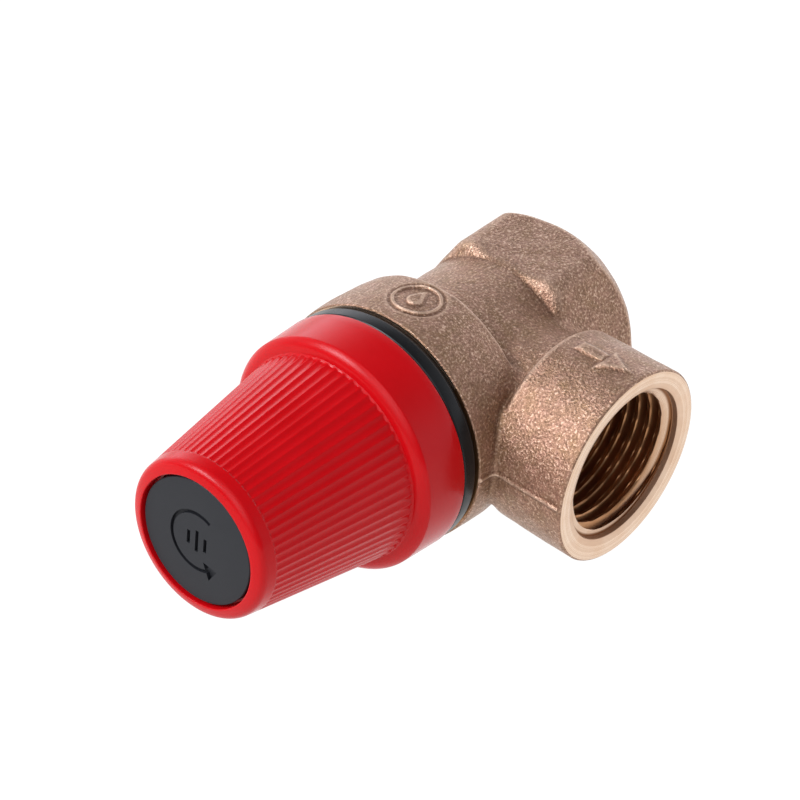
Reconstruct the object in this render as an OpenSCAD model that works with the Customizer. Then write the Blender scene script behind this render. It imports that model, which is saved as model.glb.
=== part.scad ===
// Diaphragm type pressure relief valve, female inlet and female side outlet.
// Origin at the centre of the inlet mouth. +X leaves the inlet along the valve
// axis, so the red cap points to -X. The side outlet opens to -Y. +Z is up.
// Inside the modules the valve axis is the local +Z, measured from the inlet
// mouth towards the cap, and along() lays it down onto -X.

/* [Ports] */
// Wall radius of both female threads, at the thread crests
thread_r = 9.315; // [9.315:0.005:9.36]
// Depth of the full thread in the inlet
inlet_depth = 11; // [10:0.5:11]
// Depth of the full thread in the outlet, below its countersink
outlet_depth = 10; // [9:0.5:10.5]
// Radius of the countersink at the outlet mouth
mouth_r = 11.5; // [11.2:0.05:11.7]
// Distance from the valve axis to the outlet face
outlet_reach = 27.25; // [26:0.25:29]
// Distance from the inlet mouth to the outlet axis
outlet_pos = 19.8; // [19.5:0.1:20.1]

/* [Bronze body] */
// Width across the flats of the inlet hexagon
hex_af = 26.8; // [26:0.1:27]
// Radius that rounds the corners of the hexagon
hex_corner_r = 15.3; // [15.1:0.05:15.4]
// Length of the hexagon at its corners
hex_len = 12; // [11.5:0.1:12.4]
// Radius of the neck between hexagon and cup
neck_r = 13.15; // [13:0.05:13.4]
// Outside radius of the outlet boss
boss_r = 13.4; // [13.2:0.05:13.8]
// Distance from the valve axis to the inner rim of the outlet boss
boss_start = 15.2; // [15:0.1:15.6]
// Radius of the root that joins the outlet boss to the neck
boss_root_r = 11.2; // [10.5:0.1:12]
// Outside radius of the cup that takes the bonnet
cup_r = 16.7; // [16.5:0.05:16.8]
// Where the cup starts, from the inlet mouth
cup_start = 25.9; // [25.5:0.1:26.2]
// Where the cup ends, from the inlet mouth
cup_end = 35.8; // [35.5:0.1:35.9]
// Bore of the seat nozzle
seat_bore_r = 6.5; // [5.5:0.25:6.5]

/* [Cap] */
// Radius of the cap's skirt at its open end
skirt_r = 16.3; // [16.2:0.05:16.45]
// Where the cap's skirt ends, from the inlet mouth
skirt_end = 38.55; // [38.55:0.05:38.8]
// Where the cone starts, at the shoulder of the skirt
cone_start = 46; // [45.9:0.05:46.2]
// Radius of the cone at the shoulder
cone_r0 = 14.2; // [14.1:0.02:14.26]
// Radius of the cone at the nose
cone_r1 = 10.9; // [10.8:0.05:11]
// Total length, inlet mouth to nose
total_len = 70; // [69.9:0.05:70.2]
// Number of grip flutes around the cone
flute_count = 64; // [40:2:64]
// Depth of a grip flute
flute_depth = 0.22; // [0.15:0.01:0.24]

/* [Twist lift] */
// Number of lifting ramps
ramp_count = 4; // [4:1:4]
// Arc of one ramp in degrees
ramp_arc = 80; // [78:1:82]
// Height of one ramp
ramp_rise = 2.1333; // [2.1333:0.0001:2.1333]
// Gap between the ramps of cap and bonnet
ramp_gap = 0.08; // [0.06:0.01:0.1]

/* [Spring] */
// Wire radius
wire_r = 1.05; // [0.9:0.05:1.05]
// Mean coil radius
coil_r = 6.7; // [6.5:0.05:6.7]
// Number of turns
coil_turns = 5.5; // [4.5:0.5:5.5]

/* [Hidden] */
$fn = 96;

// Names ending in _z are stations along the valve axis.
// Body
floor_z = 15.5;        // floor of the outlet chamber
chamber_r = 11;
seat_z = 21;           // top of the seat nozzle
ledge_z = 28.5;        // ledge that carries the diaphragm
cup_bore_r = 14.2;
mouth_depth = 1.35;    // depth of the outlet's countersink
boss_rim = 0.5;        // height of the bevel on the boss's outer rim
outlet_thread_end = outlet_reach - mouth_depth;

// Stack on the holder's shank
shank_r = 3.1;
shank_hole_r = 3.2;    // holes of diaphragm and plate
rim_r = 13.9;          // outside of diaphragm and slip ring
diaphragm_top_z = ledge_z + 1.4;
plate_top_z = 31.1;
spindle_r = 2;
spindle_hole_r = spindle_r + 0.05;

// Spring space
spring_z0 = 32.2;
spring_z1 = 49.5;
thrust_top_z = 50.46;

// Twist lift
ramp_z = 56;           // foot of the bonnet's ramps
ramp_r0 = 8.9;         // inside radius of all ramps
ramp_step = 0.008;     // height of a cap ramp's low end over its flat
cap_ramp_z = ramp_z + ramp_gap;
web_z = ramp_z + ramp_rise + 0.12;   // underside of the cap's web
web_top_z = web_z + 1.95;
washer_z = web_top_z + 0.03;         // underside of the lift washer
washer_top_z = washer_z + 1;

// Cap
cap_wall = 1.7;        // radial wall of the cone
shoulder_z = 44.3;     // where the skirt starts to round over
shoulder_r = 16.07;
shoulder_round = 1.5;
nose_round = [1.3, 1.5];             // radial and axial size of the rounding
nose_z = total_len - nose_round[1];  // where the cone ends
nose_bore_r = 8.74;
nose_ledge_z = 67.9;   // ledge under the rating disc
cone_slope = (cone_r0 - cone_r1) / (nose_z - cone_start);

// Lays the valve axis down: local (x, y, z) becomes (-z, y, x).
module along() rotate([0, -90, 0]) children();

// Moves the local +Z onto the outlet's axis, measured from the valve axis.
module at_outlet() translate([0, 0, outlet_pos]) rotate([90, 0, 0]) children();

// Copies spread evenly around the axis, the first turned by offset pitches.
module around(count, offset = 0)
  for (i = [0 : count - 1]) rotate([0, 0, 360 / count * (i + offset)]) children();

// Solid of revolution about the local +Z from points [radius, station].
module turned(profile, fn = 96) rotate_extrude($fn = fn) polygon(profile);

// Hexagon prism with two flats facing local +X and -X.
module hex_prism(af, z0, z1)
  translate([0, 0, z0]) rotate([0, 0, 30])
    cylinder(r = af / 2 / cos(30), h = z1 - z0, $fn = 6);

// Hexagon nut, its corners cut back by a sphere at mid height.
module hex_nut(af, z0, z1, sphere_r, hole_r, hole_z, hole_len) difference() {
  intersection() {
    hex_prism(af, z0, z1);
    translate([0, 0, (z0 + z1) / 2]) sphere(r = sphere_r, $fn = 96);
  }
  translate([0, 0, hole_z]) cylinder(r = hole_r, h = hole_len, $fn = 48);
}

function polar(radius, angle, z) = [radius * cos(angle), radius * sin(angle), z];

// Quarter ellipse of profile points about [radius, z], without its first point.
function rounding(radius, z, width, height) =
  [for (angle = [15 : 15 : 90]) [radius + width * cos(angle), z + height * sin(angle)]];

// One ramp of the twist lift, a wedge between a flat base at z_base and a
// helix from z_start to z_end. It climbs in the direction the cap is turned,
// anticlockwise seen from the nose. The base may lie below or above the helix.
module ramp(r0, r1, angle_start, angle_end, z_base, z_start, z_end) {
  steps = 12;
  points = [for (i = [0 : steps])
    let (part = i / steps,
         angle = angle_start + (angle_end - angle_start) * part,
         z = z_start + (z_end - z_start) * part)
    each [polar(r0, angle, z_base), polar(r1, angle, z_base),
          polar(r1, angle, z), polar(r0, angle, z)]];
  sides = [for (i = [0 : steps - 1], k = [0 : 3])
    let (p = 4 * i + k, q = 4 * i + (k + 1) % 4) [p, q, q + 4, p + 4]];
  last = 4 * steps;
  faces = concat(sides, [[3, 2, 1, 0], [last, last + 1, last + 2, last + 3]]);
  // a base above the helix turns the wedge inside out, so its faces reverse
  outward = z_end > z_base ? faces : [for (f = faces) [f[3], f[2], f[1], f[0]]];
  polyhedron(points, outward, convexity = 4);
}

// Inlet hexagon. One sphere cuts its corners back at the mouth, one at the neck.
module inlet_hexagon() intersection() {
  hex_prism(hex_af, 0, 13.2);
  cylinder(r = hex_corner_r, h = 14);
  translate([0, 0, 15.72]) sphere(r = 20, $fn = 128);
  translate([0, 0, hex_len - 19.62]) sphere(r = 24.46, $fn = 128);
}

// Outside of the casting: hexagon, neck, cup and outlet boss.
module body_outside() {
  bevel_start = outlet_reach - boss_rim;
  inlet_hexagon();
  translate([0, 0, 10.6]) cylinder(r = neck_r, h = 16);
  turned([[0, 24.9], [neck_r + 0.9, 24.9], [15.5, 25.3], [16.15, cup_start],
          [cup_r, cup_end], [0, cup_end]]);
  at_outlet() {
    cylinder(r = boss_root_r, h = boss_start + 1);
    translate([0, 0, boss_start]) cylinder(r = boss_r, h = bevel_start - boss_start);
    turned([[0, outlet_reach - 1], [boss_r, outlet_reach - 1], [boss_r, bevel_start],
            [boss_r - 0.4, outlet_reach], [0, outlet_reach]]);
  }
}

module valve_body() color([0.60, 0.48, 0.41]) along() {
  difference() {
    body_outside();
    // inlet thread
    translate([0, 0, -1]) cylinder(r = thread_r, h = inlet_depth + 1);
    // way up to the chamber, inside the nozzle
    translate([0, 0, 1]) cylinder(r = seat_bore_r, h = seat_z);
    // outlet chamber around the nozzle
    translate([0, 0, floor_z]) cylinder(r = chamber_r, h = 20);
    // relief above the chamber and bore of the cup
    translate([0, 0, 27.2]) cylinder(r = 11.9, h = 10);
    translate([0, 0, ledge_z]) cylinder(r = cup_bore_r, h = 10);
    // outlet: passage, thread and countersunk mouth
    at_outlet() {
      translate([0, 0, 9.2]) cylinder(r = 7.5, h = 20);
      translate([0, 0, outlet_thread_end - outlet_depth]) cylinder(r = thread_r, h = 20);
      turned([[0, outlet_thread_end], [thread_r, outlet_thread_end],
              [mouth_r, outlet_reach], [mouth_r, outlet_reach + 2],
              [0, outlet_reach + 2]]);
    }
  }
  // seat nozzle with its narrow lip
  turned([[seat_bore_r, 13], [8.1, 13], [8.1, 19.6], [7.3, seat_z - 0.25],
          [7.05, seat_z], [6.75, seat_z], [seat_bore_r, seat_z - 0.25]]);
}

// Rubber disc that closes the nozzle.
module seat_seal() color([0.12, 0.12, 0.12]) along()
  turned([[1.5, seat_z + 0.02], [7.7, seat_z + 0.02], [7.9, seat_z + 0.22],
          [7.9, 23.6], [1.5, 23.6]]);

// Washer that holds the rubber disc on its holder.
module seal_washer() color([0.72, 0.72, 0.74]) along()
  turned([[1.45, 20.2], [4.3, 20.2], [4.5, 20.4], [4.5, seat_z], [1.45, seat_z]], 64);

// Pan head screw with a cross recess, through washer and rubber disc.
module seal_screw() color([0.70, 0.70, 0.72]) along() difference() {
  union() {
    turned([[0, 18.6], [1.7, 18.6], [2.45, 19.1], [2.6, 19.6], [2.6, 20.18],
            [0, 20.18]], 48);
    translate([0, 0, 20.1]) cylinder(r = 1.25, h = 6.6, $fn = 32);
  }
  for (angle = [0, 90]) rotate([0, 0, angle])
    translate([-1.5, -0.3, 18.5]) cube([3, 0.6, 0.9]);
}

// Brass holder of the rubber disc, with the shank that carries the
// diaphragm and takes the spindle.
module disc_holder() color([0.72, 0.58, 0.36]) along() difference() {
  turned([[0, 23.65], [7.98, 23.65], [7.98, 21.9], [8.8, 21.9], [8.8, 24.6],
          [8.3, 25.1], [5.2, 25.1], [5.2, 26.9], [8.3, 26.9], [8.5, 27.1],
          [8.5, ledge_z - 0.03], [shank_r, ledge_z - 0.03], [shank_r, 33.9],
          [shank_r - 0.3, 34.2], [0, 34.2]]);
  // holes for the screw and the spindle
  translate([0, 0, 20]) cylinder(r = 1.3, h = 7.2, $fn = 32);
  translate([0, 0, 29.6]) cylinder(r = spindle_hole_r, h = 6, $fn = 48);
}

// Fabric reinforced rubber diaphragm with one convolution.
module diaphragm() color([0.10, 0.10, 0.10]) along()
  turned([[shank_hole_r, ledge_z], [8.7, ledge_z], [9.6, ledge_z + 0.7],
          [10.8, ledge_z + 0.7], [11.7, ledge_z], [rim_r, ledge_z],
          [rim_r, diaphragm_top_z], [11.9, diaphragm_top_z],
          [11, diaphragm_top_z + 0.5], [9.4, diaphragm_top_z + 0.5],
          [8.5, diaphragm_top_z], [shank_hole_r, diaphragm_top_z]]);

// Brass plate that clamps the middle of the diaphragm.
module diaphragm_plate() color([0.74, 0.60, 0.38]) along() {
  bottom_z = diaphragm_top_z + 0.03;
  turned([[shank_hole_r, bottom_z], [7.6, bottom_z], [8.2, 30.3],
          [8.2, plate_top_z], [shank_hole_r, plate_top_z]]);
}

// Hexagon nut on the holder's shank.
module diaphragm_nut() color([0.74, 0.60, 0.38]) along()
  hex_nut(af = 8, z0 = plate_top_z + 0.02, z1 = 33.3, sphere_r = 4.6,
          hole_r = shank_r + 0.05, hole_z = 30, hole_len = 5);

// Low friction ring between the diaphragm's rim and the bonnet.
module slip_ring() color([0.92, 0.92, 0.88]) along() {
  bottom_z = diaphragm_top_z + 0.03;
  height = 30.75 - bottom_z;
  translate([0, 0, bottom_z]) difference() {
    cylinder(r = rim_r, h = height);
    translate([0, 0, -1]) cylinder(r = 12.1, h = height + 2);
  }
}

// Spindle, from the holder up through the cap's web.
module spindle() color([0.76, 0.62, 0.38]) along()
  turned([[0, 29.65], [spindle_r - 0.3, 29.65], [spindle_r, 29.95],
          [spindle_r, 64.7], [spindle_r - 0.4, 65.1], [0, 65.1]], 64);

// Pressed steel dish under the spring.
module lower_spring_seat() color([0.72, 0.72, 0.74]) along() {
  bottom_z = plate_top_z + 0.03;
  turned([[5, bottom_z], [8.3, bottom_z], [8.8, 31.6], [8.8, 33], [8.1, 33],
          [8.1, 32.15], [5, 32.15]]);
}

// Station of the wire's centre after a number of turns. The closed turns at
// both ends climb by closed_pitch, the open turns share what is left.
closed_turns = 0.75;   // at each end
closed_pitch = 2 * wire_r * 0.98;
end_inset = wire_r + 0.04;
open_rise = spring_z1 - spring_z0 - 2 * end_inset - 2 * closed_turns * closed_pitch;
function coil_z(turns) =
  let (open_part = (turns - closed_turns) / (coil_turns - 2 * closed_turns))
  spring_z0 + end_inset
  + min(turns, closed_turns) * closed_pitch
  + min(max(open_part, 0), 1) * open_rise
  + max(turns - coil_turns + closed_turns, 0) * closed_pitch;

// Round wire compression spring, its ends closed onto the two seats.
module spring() color([0.55, 0.56, 0.58]) along() {
  turn_steps = 24;
  wire_sides = 10;
  steps = coil_turns * turn_steps;
  section_r = wire_r * 0.985;
  points = [for (i = [0 : steps], j = [0 : wire_sides - 1])
    let (turns = i / turn_steps, section_angle = 360 * j / wire_sides)
    polar(coil_r + section_r * cos(section_angle), 360 * turns,
          coil_z(turns) + section_r * sin(section_angle))];
  sides = [for (i = [0 : steps - 1], j = [0 : wire_sides - 1])
    let (p = i * wire_sides + j, q = i * wire_sides + (j + 1) % wire_sides)
    [p, p + wire_sides, q + wire_sides, q]];
  start_face = [for (j = [0 : wire_sides - 1]) j];
  end_face = [for (j = [wire_sides - 1 : -1 : 0]) steps * wire_sides + j];
  polyhedron(points, concat(sides, [start_face, end_face]), convexity = 8);
}

// Hard washer that lets the adjusting nut turn without winding the spring.
module thrust_washer() color([0.74, 0.74, 0.76]) along()
  turned([[3, spring_z1 + 0.02], [8.1, spring_z1 + 0.02], [8.3, spring_z1 + 0.2],
          [8.3, thrust_top_z], [3, thrust_top_z]]);

// Slotted brass nut that sets the spring load.
module adjusting_nut() color([0.74, 0.60, 0.38]) along() difference() {
  z0 = thrust_top_z + 0.04;
  turned([[2.7, z0], [8.1, z0], [8.6, z0 + 0.5], [8.6, 54.5], [8.1, 55], [2.7, 55]]);
  around(2) translate([4.8, -1.1, 53]) cube([2.8, 2.2, 3]);
}

// Black plastic spring housing. Its flange is the dark band between the
// bronze cup and the red cap, and its crown carries the ramps.
module bonnet() color([0.09, 0.10, 0.11]) along() {
  difference() {
    turned([
      // outside: plug in the cup, gasket groove, flange, collar, tube
      [12.1, 30.8], [14.05, 30.8], [14.05, 35.84], [14.35, 35.84],
      [14.35, 36.35], [15.95, 36.35], [16.2, 36.6], [16.2, 38.2],
      [15.95, 38.45], [14.5, 38.45], [14.5, 41.1], [10.8, 41.1], [10.8, ramp_z],
      // inside, back down
      [8.65, ramp_z], [8.65, 45.5], [9.35, 44.8], [9.35, 37.2], [12.1, 34.6]]);
    // drain notches in the collar under the cap
    around(6, 0.5) translate([12.2, -1, 39]) cube([5, 2, 5]);
  }
  around(ramp_count)
    ramp(ramp_r0, 10.6, 0, ramp_arc, ramp_z - 0.4, ramp_z, ramp_z + ramp_rise);
}

// Rubber ring in the groove between cup and flange.
module bonnet_gasket() color([0.05, 0.05, 0.05]) along()
  turned([[14.4, 35.83], [15.5, 35.83], [15.7, 35.98], [15.7, 36.17],
          [15.5, 36.32], [14.4, 36.32]]);

// Outside radius of the cap's cone at a station.
function cone_at(z) = cone_r0 - (z - cone_start) * cone_slope;

// Cutters of the grip flutes, laid along the cone.
module grip_flutes() {
  cutter_r = 0.62;
  start_z = cone_start + 0.4;
  around(flute_count, 0.5)
    translate([cone_at(start_z) + cutter_r - flute_depth, 0, start_z])
      rotate([0, -atan(cone_slope), 0]) cylinder(r = cutter_r, h = 20.6, $fn = 24);
}

// Red twist cap: skirt, fluted cone, and the web inside that lifts the
// spindle when its ramps climb the bonnet's.
module knob() color([0.75, 0.10, 0.12]) along() {
  outside = concat(
    [[14.75, skirt_end], [skirt_r - 0.1, skirt_end], [skirt_r, skirt_end + 0.15],
     [shoulder_r, shoulder_z]],
    rounding(shoulder_r - shoulder_round, shoulder_z, shoulder_round, shoulder_round),
    [[cone_r0 + 0.02, cone_start], [cone_at(nose_z), nose_z]],
    rounding(cone_r1 - nose_round[0], nose_z, nose_round[0], nose_round[1]));
  inside = [
    [nose_bore_r + 0.12, total_len], [nose_bore_r, total_len - 0.12],
    [nose_bore_r, nose_ledge_z], [7.6, nose_ledge_z], [7.6, web_top_z],
    [2.4, web_top_z], [2.4, web_z], [cone_at(web_z) - cap_wall, web_z],
    [cone_at(47) - cap_wall, 47], [14.2, 43.6], [14.75, 41.8]];
  base_z = web_z + 0.3;
  difference() {
    turned(concat(outside, inside));
    grip_flutes();
  }
  // hanging ramps, and the nearly flat stretches between them
  around(ramp_count) {
    ramp(ramp_r0, 10.55, 0.3, ramp_arc - 0.1, base_z,
         cap_ramp_z + ramp_step, cap_ramp_z + ramp_rise);
    ramp(ramp_r0, 10.55, ramp_arc + 0.8, 360 / ramp_count + 0.3, base_z,
         cap_ramp_z, cap_ramp_z + ramp_step);
  }
}

// Black insert that closes the cap's nose.
module rating_disc() color([0.25, 0.25, 0.26]) along() {
  z0 = nose_ledge_z + 0.05;
  turned([[0, z0], [8.45, z0], [8.68, z0 + 0.2], [8.68, 69.5], [8.56, 69.62],
          [0, 69.62]]);
}

// Steel washer that the cap's web lifts.
module lift_washer() color([0.76, 0.76, 0.78]) along()
  turned([[2.15, washer_z], [5.8, washer_z], [6, washer_z + 0.2],
          [6, washer_top_z], [2.15, washer_top_z]], 64);

// Hexagon nut on the spindle's end.
module spindle_nut() color([0.74, 0.60, 0.38]) along()
  hex_nut(af = 7, z0 = washer_top_z + 0.04, z1 = washer_top_z + 3, sphere_r = 4.1,
          hole_r = spindle_hole_r, hole_z = washer_z, hole_len = 6);

valve_body();
seat_seal();
seal_washer();
seal_screw();
disc_holder();
diaphragm();
diaphragm_plate();
diaphragm_nut();
slip_ring();
spindle();
lower_spring_seat();
spring();
thrust_washer();
adjusting_nut();
bonnet();
bonnet_gasket();
knob();
rating_disc();
lift_washer();
spindle_nut();
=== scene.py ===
"""Angle pressure valve with a red twist cap.

The valve axis lies along world X: the threaded inlet opens at x = 0 and the cap ends
at x = -70 mm. The outlet points to -Y and the top is +Z. Sizes are in millimetres; a
station s is the distance from the inlet mouth towards the cap, so s = -x.
"""
import math
import bpy
import numpy as np
import openvdb
from mathutils import Matrix


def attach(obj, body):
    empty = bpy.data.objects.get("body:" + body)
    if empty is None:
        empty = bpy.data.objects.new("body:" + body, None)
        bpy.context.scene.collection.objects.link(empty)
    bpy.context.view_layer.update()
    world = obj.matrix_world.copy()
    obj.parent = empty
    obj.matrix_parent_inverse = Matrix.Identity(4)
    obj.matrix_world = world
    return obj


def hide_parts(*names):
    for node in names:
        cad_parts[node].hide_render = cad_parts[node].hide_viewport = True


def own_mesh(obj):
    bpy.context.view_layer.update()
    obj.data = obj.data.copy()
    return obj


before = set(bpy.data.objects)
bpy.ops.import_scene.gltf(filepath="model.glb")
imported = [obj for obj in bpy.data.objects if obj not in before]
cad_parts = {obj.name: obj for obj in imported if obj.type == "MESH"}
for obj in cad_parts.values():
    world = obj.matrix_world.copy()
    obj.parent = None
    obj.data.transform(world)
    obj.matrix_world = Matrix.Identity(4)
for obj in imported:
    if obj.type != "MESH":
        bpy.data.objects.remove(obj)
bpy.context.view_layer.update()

TAU = 2 * math.pi
MM = 0.001              # metres in a millimetre

OUT_S = 19.8            # station of the outlet axis
OUT_Y = -27.25          # outlet face
CUP_END = 35.8          # open end of the body's cup
BOSS_DROP = 0.2         # the cast boss sits slightly low on its bore

# female threads of inlet and outlet
PITCH = 1.814
CREST, ROOT = 9.315, 10.4775    # radii

# helical ramps where cap and bonnet meet
RAMP_S, RAMP_RISE = 56.0, 2.1333
RAMP_R = 8.9            # inner radius
CAP_RAMP_S = 56.08      # the cap's ramps clear the bonnet's by 0.08
WEB_S = RAMP_S + RAMP_RISE + 0.12   # web inside the cap

# cap
CONE_S, NOSE_S = 46.0, 70.0
CONE_R0, CONE_R1 = 14.20, 10.90
CONE_SLOPE = (CONE_R0 - CONE_R1) / (NOSE_S - 1.5 - CONE_S)
CAP_WALL = 1.7
FLUTES, FLUTE_DEPTH = 64, 0.15
FLUTE_S0, FLUTE_S1 = 46.09, 67.45
DISC_FACE_S = 69.6      # face of the black insert


# --------------------------------------------------------------------------
# Mesh helpers
# --------------------------------------------------------------------------
def along(points):
    """Local (a, b, s) on the valve axis to world (-s, b, a)."""
    p = np.asarray(points, float)
    return np.c_[-p[:, 2], p[:, 1], p[:, 0]]


def outward(points):
    """Local (a, b, w) on the outlet axis to world; w runs into the outlet from its face."""
    p = np.asarray(points, float)
    return np.c_[-OUT_S + p[:, 0], OUT_Y + p[:, 2], -p[:, 1]]


def facing_out(verts, faces):
    """Faces of a closed solid, turned so that they all face outwards."""
    volume = 0.0
    for face in faces:
        first = verts[face[0]]
        for i in range(1, len(face) - 1):
            volume += np.dot(first, np.cross(verts[face[i]], verts[face[i + 1]]))
    return [face[::-1] for face in faces] if volume < 0 else faces


def grid_faces(rows, cols, close_rows=False):
    """Quads of a grid whose columns wrap round; rows wrap too if close_rows."""
    row = np.arange(rows if close_rows else rows - 1)
    row, col = np.meshgrid(row, np.arange(cols), indexing="ij")
    row2, col2 = (row + 1) % rows, (col + 1) % cols
    corners = [row * cols + col, row * cols + col2, row2 * cols + col2, row2 * cols + col]
    return np.stack(corners, -1).reshape(-1, 4)


def smooth(ob, angle):
    """Smooth shading with edges sharper than angle (degrees) kept."""
    mesh = ob.data
    mesh.polygons.foreach_set("use_smooth", np.ones(len(mesh.polygons), bool))
    mesh.set_sharp_from_angle(angle=math.radians(angle))
    mesh.update()


def new_object(name, verts, faces, material, angle=32.0):
    """Smooth object in metres from world points in millimetres."""
    mesh = bpy.data.meshes.new(name)
    verts = np.asarray(verts, float) * MM
    mesh.from_pydata(verts.tolist(), [], [list(map(int, face)) for face in faces])
    mesh.validate(verbose=False)
    mesh.materials.append(material)
    ob = bpy.data.objects.new(name, mesh)
    bpy.context.scene.collection.objects.link(ob)
    smooth(ob, angle)
    return ob


def round_profile(points, default, steps=3):
    """Rounds the corners of a closed profile of (radius, station[, corner radius])."""
    places = [np.array(p[:2], float) for p in points]
    radii = [p[2] if len(p) > 2 else default for p in points]
    out = []
    for i, (p, radius) in enumerate(zip(places, radii)):
        before, after = places[i - 1] - p, places[(i + 1) % len(places)] - p
        len_before, len_after = np.linalg.norm(before), np.linalg.norm(after)
        before, after = before / len_before, after / len_after
        half = math.acos(float(np.clip(before @ after, -1, 1))) / 2
        flat = half > math.radians(87) or half < math.radians(3)
        if radius <= 0 or p[0] < 1e-6 or flat:
            out.append(tuple(p))
            continue
        setback = min(radius / math.tan(half), 0.45 * len_before, 0.45 * len_after)
        radius = setback * math.tan(half)
        middle = (before + after) / np.linalg.norm(before + after)
        centre = p + middle * (radius / math.sin(half))
        start, end = p + before * setback - centre, p + after * setback - centre
        angle0 = math.atan2(start[1], start[0])
        turn = (math.atan2(end[1], end[0]) - angle0 + math.pi) % TAU - math.pi
        for k in range(steps + 1):
            g = angle0 + turn * k / steps
            out.append((centre[0] + radius * math.cos(g), centre[1] + radius * math.sin(g)))
    return out


def lathe_mesh(profile, seg):
    """Local solid of revolution from a closed profile; points on the axis are merged."""
    angle = np.arange(seg) * TAU / seg
    cos, sin = np.cos(angle), np.sin(angle)
    verts, rows = [], []
    count = 0
    for r, s in profile:
        if r < 1e-6:
            verts.append(np.array([[0.0, 0.0, s]]))
            rows.append([count] * seg)
            count += 1
        else:
            verts.append(np.c_[r * cos, r * sin, np.full(seg, s)])
            rows.append(list(range(count, count + seg)))
            count += seg
    faces = []
    for i, row in enumerate(rows):
        after = (i + 1) % len(rows)
        if profile[i][0] < 1e-6 and profile[after][0] < 1e-6:
            continue
        row2 = rows[after]
        for j in range(seg):
            k = (j + 1) % seg
            face = list(dict.fromkeys([row[j], row[k], row2[k], row2[j]]))
            if len(face) > 2:
                faces.append(face)
    verts = np.concatenate(verts)
    return verts, facing_out(verts, faces)


def lathe(name, profile, material, seg, corner):
    """Turned object on the valve axis, its profile corners rounded."""
    verts, faces = lathe_mesh(round_profile(profile, corner), seg)
    return new_object(name, along(verts), faces, material)


def cut_away(ob, cutter, solver="MANIFOLD"):
    """Cuts cutter out of ob; falls back to the exact solver if nothing was cut."""
    before = len(ob.data.polygons)
    for method in (solver, "EXACT"):
        mod = ob.modifiers.new("cut", "BOOLEAN")
        mod.operation = "DIFFERENCE"
        mod.solver = method
        mod.object = cutter
        graph = bpy.context.evaluated_depsgraph_get()
        mesh = bpy.data.meshes.new_from_object(ob.evaluated_get(graph), depsgraph=graph)
        ob.modifiers.remove(mod)
        if len(mesh.polygons) > 4 and len(mesh.polygons) != before:
            old = ob.data
            ob.data = mesh
            bpy.data.meshes.remove(old)
            break
        bpy.data.meshes.remove(mesh)
    bpy.data.objects.remove(cutter)


def helical_ramp(material, r0, r1, a0, a1, base, s0, s1, steps=20):
    """Block between radii r0, r1 and angles a0, a1 (degrees), rising from s0 to s1."""
    verts, faces = [], []
    for i in range(steps + 1):
        t = i / steps
        a = math.radians(a0 + (a1 - a0) * t)
        top = s0 + (s1 - s0) * t
        for r, s in ((r0, base), (r1, base), (r1, top), (r0, top)):
            verts.append((r * math.cos(a), r * math.sin(a), s))
    for i in range(steps):
        for k in range(4):
            p, q = 4 * i + k, 4 * i + (k + 1) % 4
            faces.append([p, q, q + 4, p + 4])
    faces.append([3, 2, 1, 0])
    faces.append([4 * steps + k for k in range(4)])
    verts = along(verts)
    return new_object("ramp", verts, facing_out(verts, faces), material)


def join(obs, name):
    """Joins objects into the first and renames it."""
    base = obs[0]
    with bpy.context.temp_override(active_object=base, object=base,
                                   selected_objects=obs, selected_editable_objects=obs):
        bpy.ops.object.join()
    base.name = name
    return base


def register(ob, carrier, piece):
    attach(ob, carrier)
    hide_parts(piece)


# --------------------------------------------------------------------------
# Node helpers
# --------------------------------------------------------------------------
def is_socket(value):
    return hasattr(value, "is_output")


def put(tree, socket, value):
    """Links an output to the socket, or sets its value; colours gain an alpha of 1."""
    if is_socket(value):
        tree.links.new(value, socket)
    elif socket.type == "RGBA":
        socket.default_value = (*value, 1)
    else:
        socket.default_value = value


def add_node(tree, kind, inputs=(), **settings):
    """Adds a shader node; inputs is a sequence, or a dict keyed by index or name."""
    node = tree.nodes.new("ShaderNode" + kind)
    for key, value in settings.items():
        setattr(node, key, value)
    items = inputs.items() if isinstance(inputs, dict) else enumerate(inputs)
    for key, value in items:
        put(tree, node.inputs[key], value)
    return node


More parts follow.
